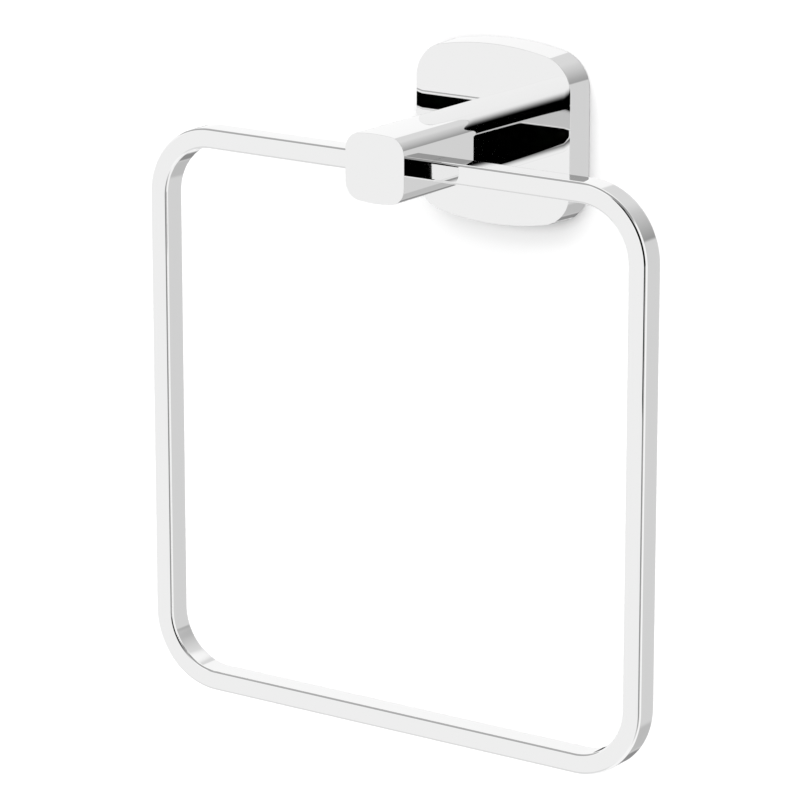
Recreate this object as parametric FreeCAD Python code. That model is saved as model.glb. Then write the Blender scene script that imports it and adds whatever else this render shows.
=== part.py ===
import FreeCAD, Part
import math
import os

# A fixed towel ring for a wall, in millimetres.
# X runs to the right, Y into the wall and Z up. The origin is on the wall, on the post's axis.

# Ring: a rectangular bar bent to a square with round corners
ring_width = 200.0
ring_height = 200.0
bar_width = 7.0
bar_depth = 9.0
bar_edge_radius = 1.0
ring_corner_radius = 25.5
ring_side_shift = -5.45
bar_below_axis = 2.15
butt_gap = 0.1
lock_hole_clearance = 0.05
lock_hole_spare = 0.05

# Post: a bar of one bowed section, with a slot across it for the ring
post_width = 23.4
post_height = 23.2
post_side_bow = 0.7
post_top_bow = 1.1
post_corner_radius = 6.0
post_front_chamfer = 0.25
projection = 80.0
ring_setback = 15.8
slot_clearance = 0.05

# Cover: a drafted shell with bowed top and bottom edges
cover_width = 62.4
cover_height = 61.8
cover_depth = 11.3
cover_top_bow = 4.7
cover_corner_radius = 12.35
cover_draft_deg = 2.2
cover_front_chamfer = 0.3
rim_wall = 2.2
front_wall = 3.0
hook_width = 22.0
hook_land = 0.5
boss_width = 11.0
wall_relief = 0.5

# Bracket: a block on the wall with undercut top and bottom edges
bracket_side_gap = 6.0
bracket_top_gap = 5.7
bracket_corner_radius = 8.0
bracket_land = 1.5
bracket_foot = 1.5
undercut_deg = 30.0
front_gap = 1.3
hook_clearance = 0.1
wall_hole_spacing = 31.0
wall_hole_radius = 2.6
wall_head_radius = 5.2
wall_head_depth = 3.6
pocket_radius = 8.5
pocket_clearance = 0.7

# Screw, washer and pins that hold the post
screw_radius = 3.0
screw_length = 16.0
screw_head_radius = 5.0
screw_head_height = 4.0
screw_head_chamfer = 0.4
screw_end_chamfer = 0.5
screw_hex = 4.0
screw_hex_depth = 2.3
screw_passage_radius = 3.3
tapped_spare = 2.5
washer_inner_radius = 3.15
washer_outer_radius = 4.95
washer_height = 1.6
washer_split = 0.8
washer_split_deg = 20.0
dowel_radius = 1.5
dowel_length = 7.0
dowel_offset = 7.5
dowel_recess = 0.3

# Grub screws
grub_radius = 2.0
grub_point_radius = 0.4
grub_hex = 2.0
grub_hex_depth = 2.0
ring_grub_length = 5.0
ring_grub_offset = 5.0
ring_grub_reach = 0.7
ring_grub_dog_radius = 1.0
ring_grub_dog_length = 1.0
cover_grub_length = 8.0
grub_seat_gap = 0.03
thread_clearance = 0.05
pin_clearance = 0.03

# Places that follow from the sizes above
post_front = -projection
cover_front = -cover_depth
cover_inside = cover_front + front_wall
washer_face = cover_inside + washer_height
head_end = washer_face + screw_head_height
ring_front = post_front + ring_setback
ring_back = ring_front + bar_depth
bar_top = -bar_below_axis + bar_width / 2
bar_bottom = bar_top - bar_width
ring_middle = bar_top - ring_height / 2
bracket_width = cover_width - 2 * (rim_wall + bracket_side_gap)
bracket_height = cover_height - 2 * (rim_wall + bracket_top_gap)
bracket_front = cover_inside + front_gap
bevel_start = bracket_front + bracket_land
bevel_end = -bracket_foot
bevel_slope = math.tan(math.radians(undercut_deg))
bevel_inset = (bevel_end - bevel_start) * bevel_slope
cover_grub_y = (bevel_start + bevel_end) / 2
beyond = 5.0


def vec(x, y, z):
    return FreeCAD.Vector(x, y, z)


def box(low, high):
    """A block between its lowest and its highest corner."""
    size = [high[i] - low[i] for i in range(3)]
    return Part.makeBox(size[0], size[1], size[2], vec(*low))


def edges_along(shape, axis):
    """Straight edges that run along one axis: 0 for X, 1 for Y, 2 for Z."""
    found = []
    for edge in shape.Edges:
        run = edge.Vertexes[-1].Point - edge.Vertexes[0].Point
        if run.Length > 0 and abs(run[axis]) > 0.999 * run.Length:
            found.append(edge)
    return found


def edges_at_y(shape, y):
    """Edges that lie in the plane at this Y."""
    near = 1e-4
    return [e for e in shape.Edges if abs(e.BoundBox.YMin - y) < near and abs(e.BoundBox.YMax - y) < near]


def bow_radius(half_chord, rise):
    """Radius of the arc that stands this far above its chord."""
    return (half_chord ** 2 + rise ** 2) / (2 * rise)


def bowed_corner(half_width, half_height, side_radius, top_radius, corner_radius):
    """Centre of the corner arc inside a bowed side and a bowed top, and its direction to the side."""
    side_x = half_width - side_radius
    top_z = half_height - top_radius
    from_side = side_radius - corner_radius
    from_top = top_radius - corner_radius
    span = math.hypot(side_x, top_z)
    along = (span ** 2 + from_top ** 2 - from_side ** 2) / (2 * span)
    across = math.sqrt(from_top ** 2 - along ** 2)
    step_x = side_x / span
    step_z = -top_z / span
    centre = (along * step_x + across * step_z, top_z + along * step_z - across * step_x)
    return centre, ((centre[0] - side_x) / from_side, centre[1] / from_side)


def straight_corner(half_width, half_height, top_radius, corner_radius):
    """Centre of the corner arc inside a straight side and a bowed top, and its direction to the side."""
    centre_x = half_width - corner_radius
    top_z = half_height - top_radius
    centre_z = top_z + math.sqrt((top_radius - corner_radius) ** 2 - centre_x ** 2)
    return (centre_x, centre_z), (1.0, 0.0)


def bowed_outline(half_width, half_height, top_radius, corner_radius, corner, to_side, y):
    """Closed outline of a bowed top and bottom, two sides and four corner arcs, all tangent, at this Y."""
    top_z = half_height - top_radius
    from_top = top_radius - corner_radius
    to_top = (corner[0] / from_top, (corner[1] - top_z) / from_top)
    top = (corner[0] + corner_radius * to_top[0], corner[1] + corner_radius * to_top[1])
    side = (corner[0] + corner_radius * to_side[0], corner[1] + corner_radius * to_side[1])
    turn = math.hypot(to_top[0] + to_side[0], to_top[1] + to_side[1])
    middle = (
        corner[0] + corner_radius * (to_top[0] + to_side[0]) / turn,
        corner[1] + corner_radius * (to_top[1] + to_side[1]) / turn,
    )

    def at(point, sign_x, sign_z):
        return vec(sign_x * point[0], y, sign_z * point[1])

    def upright(sign_x, sign_z):
        if to_side[1] == 0:
            return Part.LineSegment(at(side, sign_x, -sign_z), at(side, sign_x, sign_z))
        return Part.Arc(at(side, sign_x, -sign_z), vec(sign_x * half_width, y, 0), at(side, sign_x, sign_z))

    arcs = [
        upright(1, 1),
        Part.Arc(at(side, 1, 1), at(middle, 1, 1), at(top, 1, 1)),
        Part.Arc(at(top, 1, 1), vec(0, y, half_height), at(top, -1, 1)),
        Part.Arc(at(top, -1, 1), at(middle, -1, 1), at(side, -1, 1)),
        upright(-1, -1),
        Part.Arc(at(side, -1, -1), at(middle, -1, -1), at(top, -1, -1)),
        Part.Arc(at(top, -1, -1), vec(0, y, -half_height), at(top, 1, -1)),
        Part.Arc(at(top, 1, -1), at(middle, 1, -1), at(side, 1, -1)),
    ]
    return Part.Wire([arc.toShape() for arc in arcs])


def cover_outline(inset, y):
    """The cover's outline at its front face, drawn in by this much, at this Y."""
    half_width = cover_width / 2 - inset
    half_height = cover_height / 2 - inset
    top_radius = bow_radius(cover_width / 2, cover_top_bow) - inset
    corner_radius = cover_corner_radius - inset
    corner, to_side = straight_corner(half_width, half_height, top_radius, corner_radius)
    return bowed_outline(half_width, half_height, top_radius, corner_radius, corner, to_side, y)


def cover_block(inset, front, back):
    """A drafted block inside the cover's outer form, which widens towards the wall."""
    draft = math.tan(math.radians(cover_draft_deg))
    outlines = [
        cover_outline(inset - (front - cover_front) * draft, front),
        cover_outline(inset - (back - cover_front) * draft, back),
    ]
    return Part.makeLoft(outlines, True, True)


def hex_prism(across_flats, start, length, direction):
    """A six-sided prism for a key's socket."""
    corner_reach = across_flats / math.sqrt(3)
    points = []
    for i in range(7):
        angle = math.radians(60 * i)
        points.append(vec(corner_reach * math.cos(angle), corner_reach * math.sin(angle), 0))
    prism = Part.Face(Part.makePolygon(points)).extrude(vec(0, 0, length))
    prism.Placement = FreeCAD.Placement(start, FreeCAD.Rotation(vec(0, 0, 1), direction))
    return prism


def yz_prism(points, half_width):
    """A prism along X, symmetric about X = 0, from its outline as Y and Z pairs."""
    corners = [vec(-half_width, y, z) for y, z in points]
    face = Part.Face(Part.makePolygon(corners + [corners[0]]))
    return face.extrude(vec(2 * half_width, 0, 0))


def grub_screw(tip, length, point, point_length):
    """A grub screw that stands upright under its tip, with this solid as its point."""
    foot = tip - vec(0, 0, length)
    up = vec(0, 0, 1)
    body = Part.makeCylinder(grub_radius, length - point_length, foot, up)
    socket = hex_prism(grub_hex, foot, grub_hex_depth, up)
    return body.fuse(point).cut(socket).removeSplitter()


def ring_grub_tip(side):
    """Where the point of the left (-1) or right (1) ring grub screw ends."""
    return vec(side * ring_grub_offset, (ring_front + ring_back) / 2, bar_bottom + ring_grub_reach)


def square_ring():
    left = ring_side_shift - ring_width / 2
    right = ring_side_shift + ring_width / 2
    low = ring_middle - ring_height / 2
    outer = box((left, ring_front, low), (right, ring_back, bar_top))
    outer = outer.makeFillet(ring_corner_radius, edges_along(outer, 1))
    inner = box(
        (left + bar_width, ring_front - beyond, low + bar_width),
        (right - bar_width, ring_back + beyond, bar_top - bar_width),
    )
    inner = inner.makeFillet(ring_corner_radius - bar_width, edges_along(inner, 1))
    ring = outer.cut(inner)
    ring = ring.makeFillet(bar_edge_radius, edges_at_y(ring, ring_front) + edges_at_y(ring, ring_back))
    butt = box(
        (-butt_gap / 2, ring_front - beyond, bar_bottom - beyond),
        (butt_gap / 2, ring_back + beyond, bar_top + beyond),
    )
    ring = ring.cut(butt)
    lock_hole_radius = ring_grub_dog_radius + lock_hole_clearance
    lock_hole_depth = ring_grub_reach + lock_hole_spare
    for side in (-1, 1):
        mouth = ring_grub_tip(side) - vec(0, 0, ring_grub_reach)
        ring = ring.cut(Part.makeCylinder(lock_hole_radius, lock_hole_depth, mouth, vec(0, 0, 1)))
    return ring


def ring_slot():
    """The passage across the post that the ring's bar fills."""
    slot = box(
        (-post_width, ring_front - slot_clearance, bar_bottom - slot_clearance),
        (post_width, ring_back + slot_clearance, bar_top + slot_clearance),
    )
    return slot.makeFillet(bar_edge_radius + slot_clearance, edges_along(slot, 0))


def support_post():
    half_width = post_width / 2
    half_height = post_height / 2
    side_radius = bow_radius(half_height, post_side_bow)
    top_radius = bow_radius(half_width, post_top_bow)
    radius = post_corner_radius
    corner, to_side = bowed_corner(half_width, half_height, side_radius, top_radius, radius)
    outline = bowed_outline(half_width, half_height, top_radius, radius, corner, to_side, post_front)
    post = Part.Face(outline).extrude(vec(0, cover_front - post_front, 0))
    post = post.makeChamfer(post_front_chamfer, edges_at_y(post, post_front))
    post = post.cut(ring_slot())
    up = vec(0, 0, 1)
    dowel_hole_end = cover_inside - dowel_recess - dowel_length
    for side in (-1, 1):
        tip = ring_grub_tip(side)
        start = vec(tip.x, tip.y, -post_height)
        thread_depth = bar_bottom - start.z
        post = post.cut(Part.makeCylinder(grub_radius + thread_clearance, thread_depth, start, up))
        post = post.cut(Part.makeCylinder(
            dowel_radius + pin_clearance,
            cover_front - dowel_hole_end,
            vec(side * dowel_offset, cover_front, 0),
            vec(0, -1, 0),
        ))
    tapped_depth = cover_front - (washer_face - screw_length) + tapped_spare
    tapped_radius = screw_radius + thread_clearance
    return post.cut(Part.makeCylinder(tapped_radius, tapped_depth, vec(0, cover_front, 0), vec(0, -1, 0)))


def bevel_z(y):
    """Half height of the bracket's undercut edge at this Y."""
    return bracket_height / 2 - (y - bevel_start) * bevel_slope


def hook():
    """The rib under the cover's top wall that sits behind the bracket's undercut edge."""
    back = -wall_relief
    front = bevel_start + hook_land
    low = bevel_z(bevel_end) + hook_clearance
    return yz_prism(
        [
            (back, cover_height),
            (back, low),
            (bevel_end, low),
            (front, bevel_z(front) + hook_clearance),
            (front, cover_height),
        ],
        hook_width / 2,
    )


def cover_plate():
    shell = cover_block(0, cover_front, 0)
    shell = shell.makeChamfer(cover_front_chamfer, edges_at_y(shell, cover_front))
    shell = shell.cut(cover_block(rim_wall, cover_inside, beyond))
    boss_top = -(bracket_height / 2 + front_gap)
    in_front_wall = cover_front + front_wall / 2
    boss = box((-boss_width / 2, in_front_wall, -cover_height), (boss_width / 2, -wall_relief, boss_top))
    inside = cover_block(rim_wall / 2, in_front_wall, beyond)
    shell = shell.fuse([boss.common(inside), hook().common(inside)]).removeSplitter()
    shell = shell.cut(Part.makeCylinder(screw_passage_radius, cover_depth, vec(0, 0, 0), vec(0, -1, 0)))
    for side in (-1, 1):
        start = vec(side * dowel_offset, 0, 0)
        shell = shell.cut(Part.makeCylinder(dowel_radius + pin_clearance, cover_depth, start, vec(0, -1, 0)))
    start = vec(0, cover_grub_y, -cover_height)
    drill_length = cover_height - bracket_height / 2
    return shell.cut(Part.makeCylinder(grub_radius + thread_clearance, drill_length, start, vec(0, 0, 1)))


def wall_bracket():
    half_width = bracket_width / 2
    half_height = bracket_height / 2
    block = box((-half_width, bracket_front, -half_height), (half_width, 0, half_height))
    block = block.makeFillet(bracket_corner_radius, edges_along(block, 1))
    for side in (-1, 1):
        wedge = [
            (bevel_start, half_height),
            (bevel_end, half_height - bevel_inset),
            (beyond, half_height - bevel_inset),
            (beyond, half_height + beyond),
            (bevel_start, half_height + beyond),
        ]
        block = block.cut(yz_prism([(y, side * z) for y, z in wedge], bracket_width))
    for side in (-1, 1):
        start = vec(side * wall_hole_spacing / 2, bracket_front, 0)
        into_wall = vec(0, 1, 0)
        block = block.cut(Part.makeCylinder(wall_hole_radius, -bracket_front, start, into_wall))
        block = block.cut(Part.makeCylinder(wall_head_radius, wall_head_depth, start, into_wall))
    pocket_depth = head_end + pocket_clearance - bracket_front
    return block.cut(Part.makeCylinder(pocket_radius, pocket_depth, vec(0, bracket_front, 0), vec(0, 1, 0)))


def post_fixing_screw():
    outwards = vec(0, -1, 0)
    shank = Part.makeCylinder(screw_radius, screw_length, vec(0, washer_face, 0), outwards)
    shank = shank.makeChamfer(screw_end_chamfer, edges_at_y(shank, washer_face - screw_length))
    head = Part.makeCylinder(screw_head_radius, screw_head_height, vec(0, head_end, 0), outwards)
    head = head.makeChamfer(screw_head_chamfer, edges_at_y(head, head_end))
    socket = hex_prism(screw_hex, vec(0, head_end, 0), screw_hex_depth, outwards)
    return shank.fuse(head).cut(socket).removeSplitter()


def post_lock_washer():
    start = vec(0, cover_inside, 0)
    into_wall = vec(0, 1, 0)
    washer = Part.makeCylinder(washer_outer_radius, washer_height, start, into_wall)
    washer = washer.cut(Part.makeCylinder(washer_inner_radius, washer_height, start, into_wall))
    split = box((-washer_split / 2, -beyond, 0), (washer_split / 2, beyond, washer_outer_radius + beyond))
    middle = vec(0, cover_inside + washer_height / 2, 0)
    split.Placement = FreeCAD.Placement(middle, FreeCAD.Rotation(vec(0, 0, 1), washer_split_deg))
    return washer.cut(split)


def post_dowels():
    pins = []
    for side in (-1, 1):
        start = vec(side * dowel_offset, cover_inside - dowel_recess, 0)
        pins.append(Part.makeCylinder(dowel_radius, dowel_length, start, vec(0, -1, 0)))
    return Part.makeCompound(pins)


def ring_grub_screws():
    """Dog-point screws: each point stands in a hole in the bar's underside."""
    screws = []
    for side in (-1, 1):
        tip = ring_grub_tip(side)
        start = tip - vec(0, 0, ring_grub_dog_length)
        dog = Part.makeCylinder(ring_grub_dog_radius, ring_grub_dog_length, start, vec(0, 0, 1))
        screws.append(grub_screw(tip, ring_grub_length, dog, ring_grub_dog_length))
    return Part.makeCompound(screws)


def cover_grub_screw():
    """A cone-point screw: the cone bears on the bracket's undercut and draws the cover to the wall."""
    touch_y = cover_grub_y - grub_point_radius
    tip = vec(0, cover_grub_y, -bevel_z(touch_y) - grub_seat_gap)
    cone_length = grub_radius - grub_point_radius
    start = tip - vec(0, 0, cone_length)
    cone = Part.makeCone(grub_radius, grub_point_radius, cone_length, start, vec(0, 0, 1))
    return grub_screw(tip, cover_grub_length, cone, cone_length)


parts = {
    "cover_plate": cover_plate,
    "support_post": support_post,
    "square_ring": square_ring,
    "wall_bracket": wall_bracket,
    "post_fixing_screw": post_fixing_screw,
    "post_lock_washer": post_lock_washer,
    "post_dowels": post_dowels,
    "ring_grub_screws": ring_grub_screws,
    "cover_grub_screw": cover_grub_screw,
}

os.makedirs("parts", exist_ok=True)
for name, make in parts.items():
    shape = make()
    shape.exportStep("parts/" + name + ".step")
    print(name, "solids", len(shape.Solids), "volume", round(shape.Volume, 1), "valid", shape.isValid())
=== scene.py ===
"""A square chrome towel ring on its post and wall cover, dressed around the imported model."""
import logging
import math
from dataclasses import dataclass
from enum import Enum

import bmesh
import bpy
import numpy as np
from mathutils import Matrix, Vector


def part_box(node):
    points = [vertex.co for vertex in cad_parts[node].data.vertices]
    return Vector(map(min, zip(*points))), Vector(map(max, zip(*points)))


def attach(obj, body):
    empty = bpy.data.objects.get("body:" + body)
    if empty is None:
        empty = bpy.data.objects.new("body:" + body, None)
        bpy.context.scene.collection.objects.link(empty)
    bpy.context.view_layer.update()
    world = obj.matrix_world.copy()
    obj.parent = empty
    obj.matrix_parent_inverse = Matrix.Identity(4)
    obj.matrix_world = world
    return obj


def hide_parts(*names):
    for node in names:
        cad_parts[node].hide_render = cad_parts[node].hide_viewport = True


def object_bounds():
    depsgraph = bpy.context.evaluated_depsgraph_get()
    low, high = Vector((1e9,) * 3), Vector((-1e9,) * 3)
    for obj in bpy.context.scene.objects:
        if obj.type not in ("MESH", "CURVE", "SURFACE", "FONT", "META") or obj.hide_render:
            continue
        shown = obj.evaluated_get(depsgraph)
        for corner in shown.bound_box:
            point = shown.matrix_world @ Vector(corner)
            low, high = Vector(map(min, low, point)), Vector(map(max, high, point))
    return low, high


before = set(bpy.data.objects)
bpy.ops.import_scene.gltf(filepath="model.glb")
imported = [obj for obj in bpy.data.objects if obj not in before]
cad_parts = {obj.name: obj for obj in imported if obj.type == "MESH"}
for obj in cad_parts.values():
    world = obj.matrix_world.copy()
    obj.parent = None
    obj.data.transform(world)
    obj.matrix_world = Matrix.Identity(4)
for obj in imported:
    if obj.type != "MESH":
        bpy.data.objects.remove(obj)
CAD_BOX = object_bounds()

logging.basicConfig(level=logging.INFO, format="%(message)s")
log = logging.getLogger("towel_ring")

MM = 0.001
WELD_DISTANCE = 0.0001 * MM
FACING = 0.5  # share of a normal along an axis from which a face counts as facing that way


class Joining(Enum):
    """What a tool shape does to the body that it meets."""

    ADD = "UNION"
    CUT = "DIFFERENCE"


class Run(Enum):
    """Where a round tool runs to, as the axis of the quarter turn that lays an upright cylinder that way."""

    INTO = "X"
    UP = "Z"


# Finishes


@dataclass(frozen=True)
class Finish:
    """A metal surface whose gloss and evenness vary slightly over the piece.

    Args:
        name: the material's name.
        colour: reflected colour, linear.
        roughness: lowest and highest roughness over the surface.
        patch_size: size of the patches in which the roughness changes, in metres.
        relief_size: size of the surface's unevenness, in metres.
        relief_height: height of that unevenness, in metres.
        patch_layers: number of finer layers in the roughness.
        relief_layers: number of finer layers in the unevenness.
    """

    name: str
    colour: tuple[float, float, float]
    roughness: tuple[float, float]
    patch_size: float
    relief_size: float
    relief_height: float
    patch_layers: float = 3.0
    relief_layers: float = 2.0

    def noise(self, tree: bpy.types.NodeTree, size: float, detail: float) -> bpy.types.NodeSocket:
        """Noise in the piece's own coordinates.

        Args:
            tree: the material's nodes.
            size: size of one blotch, in metres.
            detail: number of finer layers.

        Returns:
            The noise's value, from 0 to 1.
        """
        place = tree.nodes.new("ShaderNodeTexCoord")
        noise = tree.nodes.new("ShaderNodeTexNoise")
        noise.inputs["Scale"].default_value = 1 / size
        noise.inputs["Detail"].default_value = detail
        tree.links.new(place.outputs["Object"], noise.inputs["Vector"])
        return noise.outputs["Fac"]

    def material(self) -> bpy.types.Material:
        """Build the finish's material.

        Returns:
            The material, or the one already built under this name.
        """
        known = bpy.data.materials.get(self.name)
        if known:
            return known
        material = bpy.data.materials.new(self.name)
        material.use_nodes = True
        tree = material.node_tree
        shader = tree.nodes["Principled BSDF"]
        shader.inputs["Metallic"].default_value = 1.0
        self.tint(tree, shader)
        spread = tree.nodes.new("ShaderNodeMapRange")
        spread.inputs["To Min"].default_value = self.roughness[0]
        spread.inputs["To Max"].default_value = self.roughness[1]
        tree.links.new(self.noise(tree, self.patch_size, self.patch_layers), spread.inputs["Value"])
        tree.links.new(spread.outputs["Result"], shader.inputs["Roughness"])
        bump = tree.nodes.new("ShaderNodeBump")
        bump.inputs["Strength"].default_value = 1.0
        bump.inputs["Distance"].default_value = self.relief_height
        tree.links.new(self.noise(tree, self.relief_size, self.relief_layers), bump.inputs["Height"])
        tree.links.new(bump.outputs["Normal"], shader.inputs["Normal"])
        return material

    def tint(self, tree: bpy.types.NodeTree, shader: bpy.types.Node) -> None:
        """Give the shader its colour, the same all over."""
        shader.inputs["Base Color"].default_value = (*self.colour, 1.0)


@dataclass(frozen=True)
class MottledFinish(Finish):
    """A finish whose colour is darker in patches, as on a raw casting or a plated fastener.

    Args:
        patch_shade: how much darker the patches are, from 0 to 1.
        shade_layers: number of finer layers in the patches of colour.
    """

    patch_shade: float = 0.15
    shade_layers: float = 4.0

    def tint(self, tree: bpy.types.NodeTree, shader: bpy.types.Node) -> None:
        """Give the shader a colour that is darker in patches.

        Args:
            tree: the material's nodes.
            shader: the shader that takes the colour.
        """
        blend = tree.nodes.new("ShaderNodeMix")
        blend.data_type = "RGBA"
        blend.inputs["A"].default_value = (*[c * (1 - self.patch_shade) for c in self.colour], 1.0)
        blend.inputs["B"].default_value = (*self.colour, 1.0)
        tree.links.new(self.noise(tree, self.patch_size / 2, self.shade_layers), blend.inputs["Factor"])
        tree.links.new(blend.outputs["Result"], shader.inputs["Base Color"])


POLISHED_CHROME = Finish(
    name="polished chrome",
    colour=(0.9, 0.9, 0.9),
    roughness=(0.012, 0.03),
    patch_size=9 * MM,
    relief_size=14 * MM,
    relief_height=0.002 * MM,
)
PLATED_INSIDE = MottledFinish(
    name="plating over the raw inside",
    colour=(0.72, 0.72, 0.73),
    roughness=(0.28, 0.42),
    patch_size=4 * MM,
    relief_size=0.6 * MM,
    relief_height=0.01 * MM,
)
CAST_ZINC = MottledFinish(
    name="raw zinc casting",
    colour=(0.6, 0.61, 0.62),
    roughness=(0.42, 0.58),
    patch_size=3 * MM,
    relief_size=0.45 * MM,
    relief_height=0.015 * MM,
)
ZINC_PLATE = MottledFinish(
    name="bright zinc plate",
    colour=(0.72, 0.73, 0.75),
    roughness=(0.18, 0.3),
    patch_size=1.5 * MM,
    relief_size=0.3 * MM,
    relief_height=0.003 * MM,
    patch_shade=0.08,
)
GROUND_STEEL = MottledFinish(
    name="ground steel",
    colour=(0.55, 0.55, 0.56),
    roughness=(0.22, 0.32),
    patch_size=1.0 * MM,
    relief_size=0.15 * MM,
    relief_height=0.002 * MM,
    patch_shade=0.06,
)


# Shapes


def put_in_scene(name: str, data: bpy.types.ID) -> bpy.types.Object:
    """Give a mesh, lamp or camera an object in the scene."""
    thing = bpy.data.objects.new(name, data)
    bpy.context.scene.collection.objects.link(thing)
    return thing


@dataclass(frozen=True)
class Outline:
    """A closed outline in X and Z with a bowed top and bottom, straight sides and round corners.

    Args:
        half_width: half of the width at the middle of the sides, in metres.
        half_height: half of the height at the middle of the top, in metres.
        top_bow: rise of the top's arc above its ends.
        corner_radius: radius of the corner arcs.
        bow_steps: steps along half of the top's arc.
        corner_steps: steps round one corner.
    """

    half_width: float
    half_height: float
    top_bow: float
    corner_radius: float
    bow_steps: int = 12
    corner_steps: int = 28

    def quadrant(self) -> tuple[list[Vector], list[Vector]]:
        """Points from the middle of the right side to the middle of the top.

        Returns:
            The points and the outward directions there.
        """
        top_radius = (self.half_width ** 2 + self.top_bow ** 2) / (2 * self.top_bow)
        top_z = self.half_height - top_radius
        from_top = top_radius - self.corner_radius
        corner = Vector((self.half_width - self.corner_radius, 0.0))
        corner.y = top_z + math.sqrt(from_top ** 2 - corner.x ** 2)
        to_top = math.atan2(corner.y - top_z, corner.x)
        points = [Vector((self.half_width, 0.0)), Vector((self.half_width, corner.y))]
        normals = [Vector((1.0, 0.0)), Vector((1.0, 0.0))]
        angle = 0.0
        for centre, radius, end, steps in (
                (corner, self.corner_radius, to_top, self.corner_steps),
                (Vector((0.0, top_z)), top_radius, math.pi / 2, self.bow_steps)):
            for i in range(1, steps + 1):
                turn = angle + (end - angle) * i / steps
                out = Vector((math.cos(turn), math.sin(turn)))
                points.append(centre + radius * out)
                normals.append(out)
            angle = end
        return points, normals

    def loop(self) -> tuple[np.ndarray, np.ndarray]:
        """Points right round the outline, anticlockwise as X and Z.

        Returns:
            The points and the outward directions there, as rows of X and Z.
        """
        loops = []
        for values in self.quadrant():
            first = np.array([tuple(v) for v in values])
            second = first[-2::-1] * (-1, 1)
            third = first[1:] * (-1, -1)
            fourth = first[-2:0:-1] * (1, -1)
            loops.append(np.vstack([first, second, third, fourth]))
        return loops[0], loops[1]


def arc_profile(centre: tuple[float, float], radius: float, start: float, end: float, steps: int) -> list:
    """Points of a rounding in a profile.

    Args:
        centre: how far outside the outline its centre is, and its Y.
        radius: the rounding's radius.
        start: angle of the first point, from the front towards the outside, in radians.
        end: angle of the last point.
        steps: number of steps between them.

    Returns:
        Pairs of distance outside the outline and Y.
    """
    points = []
    for i in range(steps + 1):
        turn = start + (end - start) * i / steps
        points.append((centre[0] + radius * math.sin(turn), centre[1] - radius * math.cos(turn)))
    return points


def loft(name: str, outline: Outline, profile: list[tuple[float, float]]) -> bpy.types.Object:
    """A closed body whose rows all follow one outline.

    Args:
        name: the object's name.
        outline: the outline that each row follows.
        profile: for each row, how far outside the outline it is, and its Y.

    Returns:
        The body, closed by a flat face at its first and its last row.
    """
    points, normals = outline.loop()
    count = len(points)
    places = []
    for out, y in profile:
        row = points + normals * out
        places += [(x, y, z) for x, z in row]
    faces = [list(range(count)), list(range(len(places) - 1, len(places) - count - 1, -1))]
    for row in range(len(profile) - 1):
        for i in range(count):
            j = (i + 1) % count
            faces.append([row * count + i, (row + 1) * count + i, (row + 1) * count + j, row * count + j])
    mesh = bpy.data.meshes.new(name)
    mesh.from_pydata(places, [], faces)
    body = put_in_scene(name, mesh)
    point_outwards(body)
    return body


def point_outwards(body: bpy.types.Object) -> None:
    """Merge a closed body's doubles and turn its faces outwards."""
    shape = bmesh.new()
    shape.from_mesh(body.data)
    bmesh.ops.remove_doubles(shape, verts=shape.verts, dist=WELD_DISTANCE)
    bmesh.ops.recalc_face_normals(shape, faces=shape.faces)
    shape.to_mesh(body.data)
    shape.free()


def round_tool(centre: Vector, radius: float, length: float, run: Run, sides: int = 48) -> bpy.types.Object:
    """A cylinder that adds to or cuts a body.

    Args:
        centre: its middle.
        radius: its radius.
        length: its length.
        run: where it runs to.
        sides: number of its sides.

    Returns:
        The tool.
    """
    shape = bmesh.new()
    bmesh.ops.create_cone(
        shape, cap_ends=True, segments=sides, radius1=radius, radius2=radius, depth=length,
        matrix=Matrix.Translation(centre) @ Matrix.Rotation(math.pi / 2, 4, run.value),
    )
    return tool_object("round tool", shape)


def prism_tool(points: list[tuple[float, float]], half_width: float) -> bpy.types.Object:
    """A prism along X that adds to or cuts a body.

    Args:
        points: its section, as Y and Z.
        half_width: half of its length along X.

    Returns:
        The tool.
    """
    shape = bmesh.new()
    face = shape.faces.new([shape.verts.new((-half_width, y, z)) for y, z in points])
    grown = bmesh.ops.extrude_face_region(shape, geom=[face])
    moved = [v for v in grown["geom"] if isinstance(v, bmesh.types.BMVert)]
    bmesh.ops.translate(shape, verts=moved, vec=(2 * half_width, 0, 0))
    return tool_object("prism tool", shape)


def tool_object(name: str, shape: bmesh.types.BMesh) -> bpy.types.Object:
    """Turn a closed shape into an object with its faces outwards.

    Args:
        name: the object's name.
        shape: the shape, which is freed.

    Returns:
        The object.
    """
    mesh = bpy.data.meshes.new(name)
    bmesh.ops.recalc_face_normals(shape, faces=shape.faces)
    shape.to_mesh(mesh)
    shape.free()
    return put_in_scene(name, mesh)


def settle(body: bpy.types.Object) -> None:
    """Turn a body's modifiers into plain mesh."""
    graph = bpy.context.evaluated_depsgraph_get()
    mesh = bpy.data.meshes.new_from_object(body.evaluated_get(graph))
    old = body.data
    body.modifiers.clear()
    body.data = mesh
    mesh.name = body.name
    bpy.data.meshes.remove(old)


def join(body: bpy.types.Object, tools: list[tuple[bpy.types.Object, Joining]]) -> None:
    """Add tools to a body, or cut them from it, in order.

    Args:
        body: the body that changes.
        tools: each tool with what it does. The tools are removed.
    """
    for tool, joining in tools:
        change = body.modifiers.new("join", "BOOLEAN")
        change.operation = joining.value
        change.object = tool
        change.solver = "EXACT"
    settle(body)
    for tool, _ in tools:
        bpy.data.objects.remove(tool)


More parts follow.
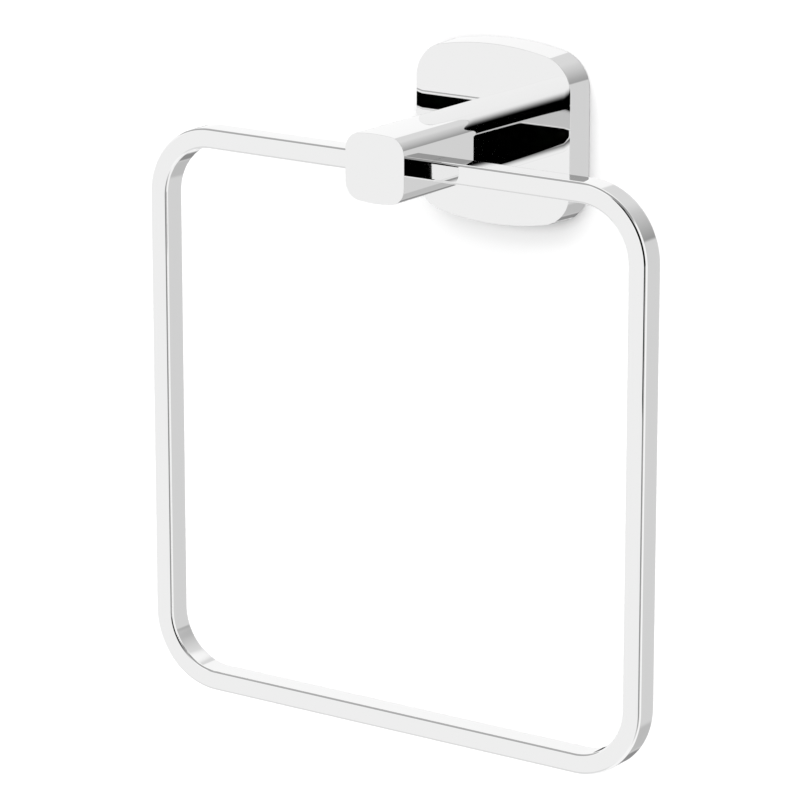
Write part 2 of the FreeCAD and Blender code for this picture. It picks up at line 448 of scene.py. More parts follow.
def even_shading(body: bpy.types.Object, sharp_angle: float = math.radians(32)) -> None:
    """Shade flats flat and roundings round, with sharp edges where faces meet at more than an angle.

    Args:
        body: the body, whose mesh is replaced by one with its own normals.
        sharp_angle: the angle, in radians.
    """
    point_outwards(body)
    body.data.shade_smooth()
    body.data.set_sharp_from_angle(angle=sharp_angle)
    weigh = body.modifiers.new("weigh", "WEIGHTED_NORMAL")
    weigh.keep_sharp = True
    weigh.weight = 100
    settle(body)


def dress(piece: bpy.types.Object, finish: Finish, node: str) -> None:
    """Finish a piece that stands for a node of the model.

    Args:
        piece: the piece, already in place.
        finish: its surface.
        node: the node that it replaces.
    """
    if not piece.data.materials:
        piece.data.materials.append(finish.material())
    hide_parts(node)
    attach(piece, "root")
    log.info("%s: %d faces", piece.name, len(piece.data.polygons))


# Pieces


@dataclass
class SquareRing:
    """The bent bar: a rounded section swept along a route with round corners.

    Args:
        bar_width: the section's size in the ring's plane.
        edge_radius: rounding of the section's corners.
        outer_radius: outer radius of the bends.
        butt_gap: gap between the bar's ends, inside the post.
        edge_steps: steps round one corner of the section.
        bend_steps: steps round one bend.
    """

    bar_width: float = 7.0 * MM
    edge_radius: float = 1.0 * MM
    outer_radius: float = 25.5 * MM
    butt_gap: float = 0.1 * MM
    edge_steps: int = 8
    bend_steps: int = 40

    def route(self) -> bpy.types.Object:
        """The middle of the bar as a chain of straight edges from one end to the other.

        Returns:
            An object whose mesh is the chain, drawn in X and Y.
        """
        low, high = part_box("square_ring")
        inset = self.bar_width / 2
        left, right = low.x + inset, high.x - inset
        bottom, top = low.z + inset, high.z - inset
        end = self.butt_gap / 2
        corners = [(end, top), (right, top), (right, bottom), (left, bottom), (left, top), (-end, top)]
        mesh = bpy.data.meshes.new("ring_bar")
        mesh.from_pydata([(x, y, 0) for x, y in corners], [(i, i + 1) for i in range(len(corners) - 1)], [])
        return put_in_scene("ring_bar", mesh)

    def sweep_tree(self) -> bpy.types.NodeTree:
        """Nodes that round the route's corners and sweep the section along it.

        Returns:
            The tree, whose inputs are its sizes and its material.
        """
        tree = bpy.data.node_groups.new("bent bar", "GeometryNodeTree")
        face = tree.interface
        face.new_socket("Route", in_out="INPUT", socket_type="NodeSocketGeometry")
        for name in ("Bend Radius", "Bar Width", "Bar Depth", "Edge Radius", "Middle Y"):
            face.new_socket(name, in_out="INPUT", socket_type="NodeSocketFloat")
        for name in ("Bend Steps", "Edge Steps"):
            face.new_socket(name, in_out="INPUT", socket_type="NodeSocketInt")
        face.new_socket("Finish", in_out="INPUT", socket_type="NodeSocketMaterial")
        face.new_socket("Bar", in_out="OUTPUT", socket_type="NodeSocketGeometry")
        given = tree.nodes.new("NodeGroupInput")
        result = tree.nodes.new("NodeGroupOutput")
        curve = tree.nodes.new("GeometryNodeMeshToCurve")
        bends = tree.nodes.new("GeometryNodeFilletCurve")
        section = tree.nodes.new("GeometryNodeCurvePrimitiveQuadrilateral")
        edges = tree.nodes.new("GeometryNodeFilletCurve")
        upright = tree.nodes.new("GeometryNodeSetCurveNormal")
        sweep = tree.nodes.new("GeometryNodeCurveToMesh")
        place = tree.nodes.new("GeometryNodeTransform")
        shift = tree.nodes.new("ShaderNodeCombineXYZ")
        real = tree.nodes.new("GeometryNodeRealizeInstances")
        paint = tree.nodes.new("GeometryNodeSetMaterial")
        for fillet, radius, steps in ((bends, "Bend Radius", "Bend Steps"), (edges, "Edge Radius", "Edge Steps")):
            set_fillet_to_points(fillet)
            tree.links.new(given.outputs[radius], fillet.inputs["Radius"])
            tree.links.new(given.outputs[steps], fillet.inputs["Count"])
        upright.mode = "Z_UP"
        sweep.inputs["Fill Caps"].default_value = True
        place.inputs["Rotation"].default_value = (math.pi / 2, 0, 0)
        links = [
            (given.outputs["Route"], curve.inputs["Mesh"]),
            (curve.outputs["Curve"], bends.inputs["Curve"]),
            (bends.outputs["Curve"], upright.inputs["Curve"]),
            (upright.outputs["Curve"], sweep.inputs["Curve"]),
            (given.outputs["Bar Width"], section.inputs["Width"]),
            (given.outputs["Bar Depth"], section.inputs["Height"]),
            (section.outputs["Curve"], edges.inputs["Curve"]),
            (edges.outputs["Curve"], sweep.inputs["Profile Curve"]),
            (sweep.outputs["Mesh"], place.inputs["Geometry"]),
            (given.outputs["Middle Y"], shift.inputs["Y"]),
            (shift.outputs["Vector"], place.inputs["Translation"]),
            (place.outputs["Geometry"], real.inputs["Geometry"]),
            (real.outputs["Geometry"], paint.inputs["Geometry"]),
            (given.outputs["Finish"], paint.inputs["Material"]),
            (paint.outputs["Geometry"], result.inputs["Bar"]),
        ]
        for start, end in links:
            tree.links.new(start, end)
        return tree

    def build(self) -> bpy.types.Object:
        """Sweep the bar and put it in the post's slot.

        Returns:
            The finished ring.
        """
        low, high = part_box("square_ring")
        tree = self.sweep_tree()
        values = {
            "Bend Radius": self.outer_radius - self.bar_width / 2,
            "Bar Width": self.bar_width,
            "Bar Depth": high.y - low.y,
            "Edge Radius": self.edge_radius,
            "Middle Y": (low.y + high.y) / 2,
            "Bend Steps": self.bend_steps,
            "Edge Steps": self.edge_steps,
            "Finish": POLISHED_CHROME.material(),
        }
        ring = self.route()
        bend = ring.modifiers.new("bend", "NODES")
        bend.node_group = tree
        for socket in tree.interface.items_tree:
            if socket.name in values:
                bend[socket.identifier] = values[socket.name]
        settle(ring)
        even_shading(ring)
        dress(ring, POLISHED_CHROME, "square_ring")
        return ring


def set_fillet_to_points(fillet: bpy.types.Node) -> None:
    """Make a fillet node add points, and not curve handles."""
    if "Mode" in fillet.inputs:
        fillet.inputs["Mode"].default_value = "Poly"
    else:
        fillet.mode = "POLY"


@dataclass
class SupportPost:
    """The bar of one bowed section between the cover and the ring, with the slot for the ring.

    Args:
        top_bow: rise of the top's and the bottom's arc.
        corner_radius: radius of the section's corners.
        front_edge_radius: rounding of the front edge.
        slot_clearance: gap round the ring's bar.
        thread_clearance: gap round the grub screws and the fixing screw.
        pin_clearance: gap round the dowels.
        screw_radius: radius of the fixing screw.
        tapped_spare: depth of the tapped hole beyond that screw.
        slot_reach: length of the slot's tool, with the post's width as 1.
        edge_steps: steps round the front edge and round one corner of the slot.
    """

    top_bow: float = 1.1 * MM
    corner_radius: float = 6.0 * MM
    front_edge_radius: float = 0.08 * MM
    slot_clearance: float = 0.02 * MM
    thread_clearance: float = 0.05 * MM
    pin_clearance: float = 0.03 * MM
    screw_radius: float = 3.0 * MM
    tapped_spare: float = 2.5 * MM
    slot_reach: float = 1.5
    edge_steps: int = 8

    def slot_tool(self, ring: SquareRing) -> bpy.types.Object:
        """The passage for the ring's bar, a rounded box along X.

        Args:
            ring: the ring whose bar passes through.

        Returns:
            The tool that cuts it.
        """
        low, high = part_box("square_ring")
        gap = self.slot_clearance
        rounding = ring.edge_radius + gap
        front, back = low.y - gap + rounding, high.y + gap - rounding
        top = high.z + gap - rounding
        bottom = high.z - ring.bar_width - gap + rounding
        section = []
        for start, (y, z) in enumerate(((back, top), (front, top), (front, bottom), (back, bottom))):
            for i in range(self.edge_steps + 1):
                turn = math.pi / 2 * (start + i / self.edge_steps)
                section.append((y + rounding * math.cos(turn), z + rounding * math.sin(turn)))
        return prism_tool(section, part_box("support_post")[1].x * self.slot_reach)

    def build(self, ring: SquareRing) -> bpy.types.Object:
        """Loft the post and cut its slot and the holes under it.

        Args:
            ring: the ring that the post carries.

        Returns:
            The finished post.
        """
        low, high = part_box("support_post")
        outline = Outline(high.x, high.z, self.top_bow, self.corner_radius)
        radius = self.front_edge_radius
        profile = arc_profile((-radius, low.y + radius), radius, 0.0, math.pi / 2, self.edge_steps)
        post = loft("post_body", outline, profile + [(0.0, high.y)])
        tools = [(self.slot_tool(ring), Joining.CUT)]
        screws_low, screws_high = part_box("ring_grub_screws")
        screw_radius = (screws_high.y - screws_low.y) / 2
        middle_y = (screws_low.y + screws_high.y) / 2
        slot_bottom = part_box("square_ring")[1].z - ring.bar_width
        for x in (screws_low.x + screw_radius, screws_high.x - screw_radius):
            depth = slot_bottom - low.z
            centre = Vector((x, middle_y, slot_bottom - depth))
            hole = round_tool(centre, screw_radius + self.thread_clearance, 2 * depth, Run.UP)
            tools.append((hole, Joining.CUT))
        dowels_low, dowels_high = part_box("post_dowels")
        dowel_radius = (dowels_high.z - dowels_low.z) / 2
        screw_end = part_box("post_fixing_screw")[0].y - self.tapped_spare
        for x, radius, end in (
                (0.0, self.screw_radius + self.thread_clearance, screw_end),
                (dowels_low.x + dowel_radius, dowel_radius + self.pin_clearance, dowels_low.y),
                (dowels_high.x - dowel_radius, dowel_radius + self.pin_clearance, dowels_low.y)):
            tools.append((round_tool(Vector((x, high.y, 0)), radius, 2 * (high.y - end), Run.INTO), Joining.CUT))
        join(post, tools)
        even_shading(post)
        dress(post, POLISHED_CHROME, "support_post")
        return post


@dataclass
class CoverPlate:
    """The hollow cover: a drafted shell with a soft front rim, a hook rib and a boss for its grub screw.

    Args:
        top_bow: rise of the top's and the bottom's arc.
        corner_radius: radius of the corners at the front.
        draft: slope of the rim, in radians.
        front_edge_radius: rounding between front and rim.
        back_edge_radius: rounding of the rim at the wall.
        roll_width: width of the band at the front's edge that the polishing has rolled off.
        roll_angle: how far that band leans at its outer end, in radians.
        rim_wall: thickness of the rim.
        front_wall: thickness of the front.
        rib_root: share of the rim's thickness that the ribs reach into.
        hook_half_width: half of the hook rib's width.
        hook_land: distance from the start of the bracket's undercut to the hook.
        hook_gap: gap between the hook and the undercut.
        bracket_land: depth of the bracket's edge in front of its undercut.
        bracket_foot: depth of the bracket's edge between its undercut and the wall.
        undercut: slope of the undercut, in radians.
        boss_half_width: half of the boss's width.
        boss_gap: gap between the boss and the bracket.
        wall_relief: gap between the ribs and the wall.
        thread_clearance: gap round the grub screw.
        pin_clearance: gap round the dowels.
        passage_radius: radius of the fixing screw's hole.
        roll_steps: steps over the rolled band.
        front_edge_steps: steps round the front edge.
        back_edge_steps: steps round the back edge.
    """

    top_bow: float = 4.7 * MM
    corner_radius: float = 12.35 * MM
    draft: float = math.radians(2.2)
    front_edge_radius: float = 0.12 * MM
    back_edge_radius: float = 0.1 * MM
    roll_width: float = 2.3 * MM
    roll_angle: float = math.radians(2.0)
    rim_wall: float = 2.2 * MM
    front_wall: float = 3.0 * MM
    rib_root: float = 0.25
    hook_half_width: float = 11.0 * MM
    hook_land: float = 0.5 * MM
    hook_gap: float = 0.1 * MM
    bracket_land: float = 1.5 * MM
    bracket_foot: float = 1.5 * MM
    undercut: float = math.radians(30)
    boss_half_width: float = 5.5 * MM
    boss_gap: float = 1.3 * MM
    wall_relief: float = 0.5 * MM
    thread_clearance: float = 0.05 * MM
    pin_clearance: float = 0.03 * MM
    passage_radius: float = 3.3 * MM
    roll_steps: int = 6
    front_edge_steps: int = 10
    back_edge_steps: int = 6

    def profile(self, front: float, back: float) -> list[tuple[float, float]]:
        """The shell's section, from the middle of the front over the rim to the middle of the inside.

        Args:
            front: Y of the front face.
            back: Y of the wall.

        Returns:
            Pairs of distance outside the front outline and Y.
        """
        slope = math.tan(self.draft)
        roll_radius = self.roll_width / math.sin(self.roll_angle)
        roll_depth = roll_radius * (1 - math.cos(self.roll_angle))
        radius = self.front_edge_radius
        edge_y = front + roll_depth + radius * math.cos(self.roll_angle)
        edge_out = (edge_y - front) * slope - radius / math.cos(self.draft)
        roll_end = edge_out + radius * math.sin(self.roll_angle)
        roll_centre = (roll_end - self.roll_width, front + roll_radius)
        points = arc_profile(roll_centre, roll_radius, 0.0, self.roll_angle, self.roll_steps)
        side = math.pi / 2 - self.draft
        points += arc_profile((edge_out, edge_y), radius, self.roll_angle, side, self.front_edge_steps)[1:]
        radius = self.back_edge_radius
        edge_y = back - radius
        edge_out = (edge_y - front) * slope - radius / math.cos(self.draft)
        points += arc_profile((edge_out, edge_y), radius, side, math.pi, self.back_edge_steps)
        inside = front + self.front_wall
        points.append(((back - front) * slope - self.rim_wall, back))
        points.append(((inside - front) * slope - self.rim_wall, inside))
        return points

    def hook_tool(self, half_height: float) -> bpy.types.Object:
        """The rib under the top of the rim that hooks behind the bracket.

        Args:
            half_height: half of the height of the cover's front.

        Returns:
            The tool that adds it.
        """
        low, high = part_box("wall_bracket")
        slope = math.tan(self.undercut)
        undercut_start = low.y + self.bracket_land
        foot = high.y - self.bracket_foot
        front = undercut_start + self.hook_land
        back = high.y - self.wall_relief
        top = half_height - self.rim_wall * (1 - self.rib_root)
        edge = high.z - (foot - undercut_start) * slope + self.hook_gap
        shoulder = high.z - self.hook_land * slope + self.hook_gap
        return prism_tool([(back, top), (back, edge), (foot, edge), (front, shoulder), (front, top)],
                          self.hook_half_width)

    def boss_tool(self) -> bpy.types.Object:
        """The boss above the bottom of the rim that holds the grub screw.

        Returns:
            The tool that adds it.
        """
        low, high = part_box("cover_plate")
        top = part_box("wall_bracket")[0].z - self.boss_gap
        bottom = low.z + self.rim_wall * (1 - self.rib_root)
        front = low.y + self.front_wall * (1 - self.rib_root)
        back = high.y - self.wall_relief
        return prism_tool([(front, bottom), (back, bottom), (back, top), (front, top)], self.boss_half_width)

    def hole_tools(self) -> list[bpy.types.Object]:
        """The holes for the grub screw, the fixing screw and the dowels.

        Returns:
            The tools that cut them.
        """
        low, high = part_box("cover_plate")
        screw_low, screw_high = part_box("cover_grub_screw")
        radius = (screw_high.x - screw_low.x) / 2 + self.thread_clearance
        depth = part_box("wall_bracket")[0].z - low.z
        holes = [round_tool(Vector((0, (screw_low.y + screw_high.y) / 2, low.z)), radius, 2 * depth, Run.UP)]
        dowels_low, dowels_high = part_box("post_dowels")
        radius = (dowels_high.z - dowels_low.z) / 2
        for x, hole_radius in ((0.0, self.passage_radius),
                               (dowels_low.x + radius, radius + self.pin_clearance),
                               (dowels_high.x - radius, radius + self.pin_clearance)):
            holes.append(round_tool(Vector((x, low.y, 0)), hole_radius, 3 * self.front_wall, Run.INTO))
        return holes

    def build(self) -> bpy.types.Object:
        """Loft the shell, join its ribs and cut its holes.

        Returns:
            The finished cover.
        """
        low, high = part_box("cover_plate")
        widening = (high.y - low.y) * math.tan(self.draft)
        outline = Outline(high.x - widening, high.z - widening, self.top_bow, self.corner_radius,
                          bow_steps=20, corner_steps=36)
        cover = loft("cover_shell", outline, self.profile(low.y, high.y))
        mark_inside(cover, low.y + self.front_wall, high.y)
        tools = [(self.hook_tool(outline.half_height), Joining.ADD), (self.boss_tool(), Joining.ADD)]
        tools += [(hole, Joining.CUT) for hole in self.hole_tools()]
        for tool, _ in tools:
            for face in tool.data.polygons:
                face.material_index = 1
        join(cover, tools)
        even_shading(cover)
        dress(cover, POLISHED_CHROME, "cover_plate")
        return cover


def mark_inside(cover: bpy.types.Object, inside: float, back: float) -> None:
    """Give the cover's inner faces the duller plating, which no polishing wheel reaches.

    Args:
        cover: the cover before its ribs are joined.
        inside: Y of the inside of the front.
        back: Y of the wall.
    """
    cover.data.materials.append(POLISHED_CHROME.material())
    cover.data.materials.append(PLATED_INSIDE.material())
    middle = (inside + back) / 2
    for face in cover.data.polygons:
        inwards = face.normal.x * face.center.x + face.normal.z * face.center.z < 0
        floor = face.normal.y > FACING and face.center.y < middle
        if floor or (inwards and face.center.y > inside and abs(face.normal.y) < FACING):
            face.material_index = 1


@dataclass
class HiddenHardware:
    """The bracket and fasteners behind the cover and in the post, which keep their modelled shape.

    Args:
        finishes: each node with its finish.
    """

    finishes: tuple[tuple[str, Finish], ...] = (
        ("wall_bracket", CAST_ZINC),
        ("post_fixing_screw", ZINC_PLATE),
        ("post_lock_washer", ZINC_PLATE),
        ("post_dowels", GROUND_STEEL),
        ("ring_grub_screws", ZINC_PLATE),
        ("cover_grub_screw", ZINC_PLATE),
    )

    def dress_nodes(self) -> None:
        """Give each of them its own finish."""
        for name, finish in self.finishes:
            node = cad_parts[name]
            if not node.material_slots:
                node.data.materials.append(None)
            for place in node.material_slots:
                place.material = finish.material()
            log.info("%s: %s", name, finish.name)


# Studio


@dataclass(frozen=True)
class Card:
    """A white, grey or black card round the object that shows only in its gloss.

    Args:
        azimuth: middle of the card and half of its width, in degrees from the front towards the right.
        elevation: middle of the card and half of its height, in degrees.
        soft: width of its soft upright edges and of its soft level edges, in degrees.
        brightness: how bright it is at its lower and at its upper edge, where 1 is white.
    """

    azimuth: tuple[float, float]
    elevation: tuple[float, float]
    soft: tuple[float, float]
    brightness: tuple[float, float]


@dataclass(frozen=True)
class DarkSide:
    """The unlit room round the camera, which fades out towards the lit cards.

    Args:
        azimuth: its middle, in degrees from the front towards the right.
        elevation: its middle, in degrees.
        dark: radius of the part without light, in degrees.
        lit: radius at which it has faded out.
    """

    azimuth: float
    elevation: float
    dark: float
    lit: float


class Nodes:
    """Arithmetic in a node tree.

    Args:
        tree: the tree that the steps go into.
    """

    def __init__(self, tree: bpy.types.NodeTree) -> None:
        """Keep the tree."""
        self.tree = tree

    def step(self, operation: str, *values: bpy.types.NodeSocket | float) -> bpy.types.NodeSocket:
        """One step of arithmetic.

        Args:
            operation: what the step does.
            values: sockets or numbers.

        Returns:
            The result.
        """
        step = self.tree.nodes.new("ShaderNodeMath")
        step.operation = operation
        for i, value in enumerate(values):
            if isinstance(value, bpy.types.NodeSocket):
                self.tree.links.new(value, step.inputs[i])
            else:
                step.inputs[i].default_value = value
        return step.outputs[0]

    def ramp(self, value: bpy.types.NodeSocket, start: tuple[float, float], end: tuple[float, float],
             smooth: bool = True) -> bpy.types.NodeSocket:
        """A change from one result to another.

        Args:
            value: what the result depends on.
            start: the value up to which the first result holds, and that result.
            end: the value from which the other result holds, and that result.
            smooth: whether the change starts and ends softly.

        Returns:
            The result.
        """
        change = self.tree.nodes.new("ShaderNodeMapRange")
        change.interpolation_type = "SMOOTHSTEP" if smooth else "LINEAR"
        change.inputs["From Min"].default_value = start[0]
        change.inputs["From Max"].default_value = end[0]
        change.inputs["To Min"].default_value = start[1]
        change.inputs["To Max"].default_value = end[1]
        self.tree.links.new(value, change.inputs["Value"])
        return change.outputs["Result"]

    def blend(self, share: bpy.types.NodeSocket, *levels: bpy.types.NodeSocket | float) -> bpy.types.NodeSocket:
        """A mixture of two values.

        Args:
            share: share of the second value.
            levels: the first and the second value.

        Returns:
            The mixture.
        """
        mix = self.tree.nodes.new("ShaderNodeMix")
        self.tree.links.new(share, mix.inputs["Factor"])
        for name, level in zip("AB", levels):
            if isinstance(level, bpy.types.NodeSocket):
                self.tree.links.new(level, mix.inputs[name])
            else:
                mix.inputs[name].default_value = level
        return mix.outputs["Result"]


def studio_sheet(name: str, corners: list, hidden: tuple[str, ...]) -> bpy.types.NodeTree:
    """A flat surface of the studio, which isn't part of the object.

    Args:
        name: its name.
        corners: its corners, anticlockwise from its front.
        hidden: the kinds of ray that don't meet it.

    Returns:
        Its material's nodes, with nothing but the output.
    """
    mesh = bpy.data.meshes.new(name)
    mesh.from_pydata(corners, [], [list(range(len(corners)))])
    sheet = put_in_scene(name, mesh)
    material = bpy.data.materials.new(name)
    material.use_nodes = True
    material.node_tree.nodes.remove(material.node_tree.nodes["Principled BSDF"])
    mesh.materials.append(material)
    for ray in hidden:
        setattr(sheet, f"visible_{ray}", False)
    return material.node_tree


@dataclass
class Studio:
    """The soft light, the white wall and floor, and the camera.

    Args:
        white: brightness of the white surroundings in the gloss.
        room_cards: the cards behind the dark side of the room, the later ones in front.
        dark_side: the unlit part of the room.
        near_cards: the cards in front of it.
        flag_distance: from the ring's bar to the small black flag that keeps the last two of them off the post.
        flag_size: the flag's width and height.
        fill: brightness of the surroundings for matt surfaces.
        key_strength: strength of the soft lamp in front.
        key_angle: its spread, in degrees.
        key_from: where it comes from, as degrees right of the front and degrees up.
        aim: the point that the camera looks at.
        distance: from there to the camera.
        azimuth: the camera's angle to the right of the front, in degrees.
        elevation: its angle above the horizontal, in degrees.
        lens: focal length, in millimetres.
        film_width: width of the camera's frame, in millimetres.
        clip: nearest and furthest distance that the camera sees.
        paint: brightness of the wall and the floor.
        wall_half: half of the wall's size.
        wall_gap: gap between the object and the wall.
        floor_drop: height of the object's origin above the floor.
        floor_lift: brightness added to the floor for the camera.
    """

    white: float = 1.02
    room_cards: tuple[Card, ...] = (
        Card((20, 120), (69, 26), (30, 12), (0.34, 0.34)),
        Card((-62, 42), (-14, 17), (6, 6), (0.95, 0.95)),
        Card((-75, 55), (-50, 18), (12, 8), (0.78, 0.78)),
        Card((-72, 40), (40, 19), (8, 5), (0.45, 0.45)),
    )
    dark_side: DarkSide = DarkSide(azimuth=33, elevation=3, dark=22, lit=54)
    near_cards: tuple[Card, ...] = (
        Card((91, 41), (-11, 50), (8, 6), (1.02, 1.02)),
        Card((158, 26), (-16, 29), (8, 4), (0.70, 0.70)),
        Card((180, 20), (26, 14), (3, 3), (0.76, 0.76)),
        Card((153, 15), (24, 14.5), (14, 3), (0.33, 0.75)),
        Card((172, 16), (-40, 12), (6, 5), (0.54, 0.54)),
        Card((-161, 10), (-34, 10), (9, 8), (0.28, 0.28)),
        Card((-146, 9), (-13, 7), (4, 4), (0.0, 0.0)),
        Card((29, 3), (-24, 14), (6, 3), (1.0, 1.0)),
        Card((33.6, 2.5), (-19, 9.1), (0.3, 0.3), (1.0, 1.0)),
    )
    flag_distance: float = 100.0 * MM
    flag_size: tuple[float, float] = (50.0 * MM, 140.0 * MM)
    fill: float = 0.33
    key_strength: float = 3.4
    key_angle: float = 70.0
    key_from: tuple[float, float] = (10.0, 17.0)
    aim: tuple[float, float, float] = (-0.964 * MM, -64.2 * MM, -81.43 * MM)
    distance: float = 1479.578 * MM
    azimuth: float = 35.0
    elevation: float = 15.0
    lens: float = 200.0
    film_width: float = 36.0
    clip: tuple[float, float] = (0.05, 20.0)
    paint: float = 0.95
    wall_half: float = 0.8
    wall_gap: float = 0.3 * MM
    floor_drop: float = 0.6
    floor_lift: float = 0.42

    def direction(self, azimuth: float, elevation: float) -> Vector:
        """The way to a point round the object.

        Args:
            azimuth: degrees to the right of the front.
            elevation: degrees up.

        Returns:
            A unit vector.
        """
        turn, lift = math.radians(azimuth), math.radians(elevation)
        return Vector((math.sin(turn) * math.cos(lift), -math.cos(turn) * math.cos(lift), math.sin(lift)))

    def camera(self) -> None:
        """Stand the camera where the photograph was taken from."""
        data = bpy.data.cameras.new("camera")
        data.lens = self.lens
        data.sensor_width = self.film_width
        data.clip_start, data.clip_end = self.clip
        camera = put_in_scene("camera", data)
        back = self.direction(self.azimuth, self.elevation)
        camera.location = Vector(self.aim) + back * self.distance
        camera.rotation_euler = back.to_track_quat("Z", "Y").to_euler()
        bpy.context.scene.camera = camera

    def gloss(self, nodes: Nodes, towards: bpy.types.NodeSocket) -> bpy.types.NodeSocket:
        """What the object's gloss shows in each direction.

        Args:
            nodes: the world's nodes.
            towards: the direction.

        Returns:
            The brightness.
        """
        split = nodes.tree.nodes.new("ShaderNodeSeparateXYZ")
        nodes.tree.links.new(towards, split.inputs["Vector"])
        forwards = nodes.step("MULTIPLY", split.outputs["Y"], -1.0)
        azimuth = nodes.step("DEGREES", nodes.step("ARCTAN2", split.outputs["X"], forwards))
        elevation = nodes.step("DEGREES", nodes.step("ARCSINE", split.outputs["Z"]))
        level = self.hang(nodes, self.white, self.room_cards, azimuth, elevation)
        near = nodes.tree.nodes.new("ShaderNodeVectorMath")
        near.operation = "DOT_PRODUCT"
        near.inputs[1].default_value = self.direction(self.dark_side.azimuth, self.dark_side.elevation)
        nodes.tree.links.new(towards, near.inputs[0])
        away = nodes.step("DEGREES", nodes.step("ARCCOSINE", near.outputs["Value"]))
        lit = nodes.ramp(away, (self.dark_side.dark, 0.0), (self.dark_side.lit, 1.0))
        return self.hang(nodes, nodes.step("MULTIPLY", level, lit), self.near_cards, azimuth, elevation)

    def hang(self, nodes: Nodes, level: bpy.types.NodeSocket | float, cards: tuple[Card, ...],
             azimuth: bpy.types.NodeSocket, elevation: bpy.types.NodeSocket) -> bpy.types.NodeSocket:
        """Put cards in front of what is there.

        Args:
            nodes: the world's nodes.
            level: brightness without the cards.
            cards: the cards, the later ones in front.
            azimuth: the direction's azimuth, in degrees.
            elevation: its elevation, in degrees.

        Returns:
            The brightness with the cards.
        """
        for card in cards:
            share = []
            for angle, (middle, half), soft in ((azimuth, card.azimuth, card.soft[0]),
                                                (elevation, card.elevation, card.soft[1])):
                off = nodes.step("WRAP", nodes.step("SUBTRACT", angle, middle), 180.0, -180.0)
                share.append(nodes.ramp(nodes.step("ABSOLUTE", off), (half - soft / 2, 1.0), (half + soft / 2, 0.0)))
            middle, half = card.elevation
            face = nodes.ramp(elevation, (middle - half, card.brightness[0]), (middle + half, card.brightness[1]),
                              smooth=False)
            level = nodes.blend(nodes.step("MULTIPLY", *share), level, face)
        return level

    def surroundings(self) -> None:
        """Light the scene: white for the camera, the cards in the gloss, and even fill for matt surfaces.

        What the gloss throws onto a matt surface is left out, so that the shadow on the wall stays whole.
        """
        world = bpy.data.worlds.new("studio")
        bpy.context.scene.world = world
        world.use_nodes = True
        nodes = Nodes(world.node_tree)
        place = nodes.tree.nodes.new("ShaderNodeTexCoord")
        level = self.gloss(nodes, place.outputs["Generated"])
        path = nodes.tree.nodes.new("ShaderNodeLightPath")
        mirrored = nodes.step("MAXIMUM", path.outputs["Is Glossy Ray"], path.outputs["Is Transmission Ray"])
        straight = nodes.step("LESS_THAN", path.outputs["Diffuse Depth"], 0.5)
        gloss = nodes.step("MULTIPLY", nodes.step("MULTIPLY", mirrored, straight), level)
        matt = nodes.step("MULTIPLY", path.outputs["Is Diffuse Ray"], self.fill)
        total = nodes.step("ADD", gloss, matt)
        light = nodes.tree.nodes["Background"]
        light.inputs["Color"].default_value = (1.0, 1.0, 1.0, 1.0)
        nodes.tree.links.new(nodes.step("ADD", total, path.outputs["Is Camera Ray"]), light.inputs["Strength"])

    def flag(self) -> None:
        """Hang a black flag, seen only in the gloss, whose left edge lines up with the post and the bar."""
        ring_low, ring_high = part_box("square_ring")
        corner = Vector((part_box("support_post")[1].x, ring_low.y, ring_high.z))
        towards = Vector(self.aim) + self.direction(self.azimuth, self.elevation) * self.distance - corner
        towards.z = -towards.z
        towards.normalize()
        width, height = self.flag_size
        right = Vector((-towards.y, towards.x, 0.0)).normalized() * width
        up = Vector((0.0, 0.0, height / 2))
        edge = corner + towards * self.flag_distance
        tree = studio_sheet("flag", [edge - up, edge + right - up, edge + right + up, edge + up],
                            ("camera", "diffuse", "transmission", "shadow"))
        black = tree.nodes.new("ShaderNodeBsdfDiffuse")
        black.inputs["Color"].default_value = (0.0, 0.0, 0.0, 1.0)
        tree.links.new(black.outputs["BSDF"], tree.nodes["Material Output"].inputs["Surface"])

    def key(self) -> None:
        """Hang the soft lamp whose shadow lies on the wall."""
        data = bpy.data.lights.new("soft key", "SUN")
        data.energy = self.key_strength
        data.angle = math.radians(self.key_angle)
        lamp = put_in_scene("soft key", data)
        lamp.rotation_euler = self.direction(*self.key_from).to_track_quat("Z", "Y").to_euler()
        lamp.visible_glossy = False

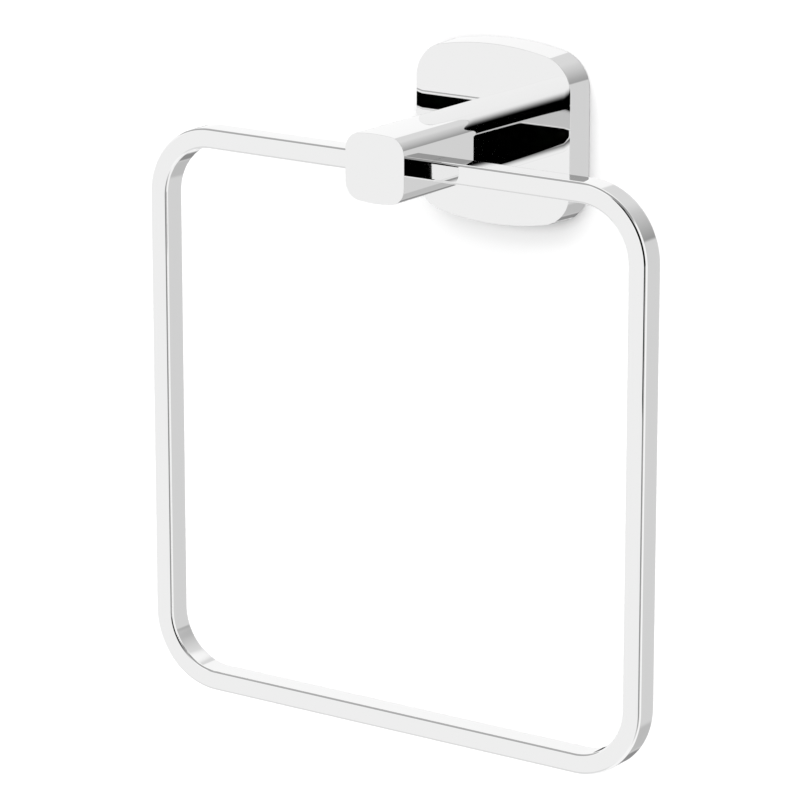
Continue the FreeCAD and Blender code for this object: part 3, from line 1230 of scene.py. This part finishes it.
    def backdrop(self, name: str, corners: list[tuple[float, float, float]], lift: float) -> None:
        """A white surface that shows to the camera from its front and takes the object's shadow.

        Args:
            name: its name.
            corners: its corners, anticlockwise from its front.
            lift: brightness added for the camera alone, where the light grazes the surface.
        """
        tree = studio_sheet(name, corners, ("diffuse", "glossy", "transmission", "shadow"))
        side = tree.nodes.new("ShaderNodeNewGeometry")
        matt = tree.nodes.new("ShaderNodeBsdfDiffuse")
        matt.inputs["Color"].default_value = (self.paint, self.paint, self.paint, 1.0)
        clear = tree.nodes.new("ShaderNodeBsdfTransparent")
        path = tree.nodes.new("ShaderNodeLightPath")
        glow = tree.nodes.new("ShaderNodeEmission")
        both = tree.nodes.new("ShaderNodeAddShader")
        choose = tree.nodes.new("ShaderNodeMixShader")
        links = [
            (Nodes(tree).step("MULTIPLY", path.outputs["Is Camera Ray"], lift), glow.inputs["Strength"]),
            (matt.outputs["BSDF"], both.inputs[0]),
            (glow.outputs["Emission"], both.inputs[1]),
            (side.outputs["Backfacing"], choose.inputs["Fac"]),
            (both.outputs["Shader"], choose.inputs[1]),
            (clear.outputs["BSDF"], choose.inputs[2]),
            (choose.outputs["Shader"], tree.nodes["Material Output"].inputs["Surface"]),
        ]
        for start, end in links:
            tree.links.new(start, end)

    def build(self) -> None:
        """Set up the wall, the floor, the light and the camera."""
        behind = CAD_BOX[1][1] + self.wall_gap
        reach, front, floor = self.wall_half, -2 * self.wall_half, -self.floor_drop
        self.backdrop("wall", [(-reach, behind, floor), (reach, behind, floor),
                               (reach, behind, reach), (-reach, behind, reach)], 0.0)
        self.backdrop("floor", [(-reach, front, floor), (reach, front, floor),
                                (reach, behind, floor), (-reach, behind, floor)], self.floor_lift)
        self.surroundings()
        self.flag()
        self.key()
        self.camera()
        bpy.context.scene.view_settings.view_transform = "Standard"


def main() -> None:
    """Build the pieces in order, from the wall outwards, and then the studio."""
    ring = SquareRing()
    CoverPlate().build()
    SupportPost().build(ring)
    ring.build()
    HiddenHardware().dress_nodes()
    Studio().build()


if __name__ == "__main__":
    main()
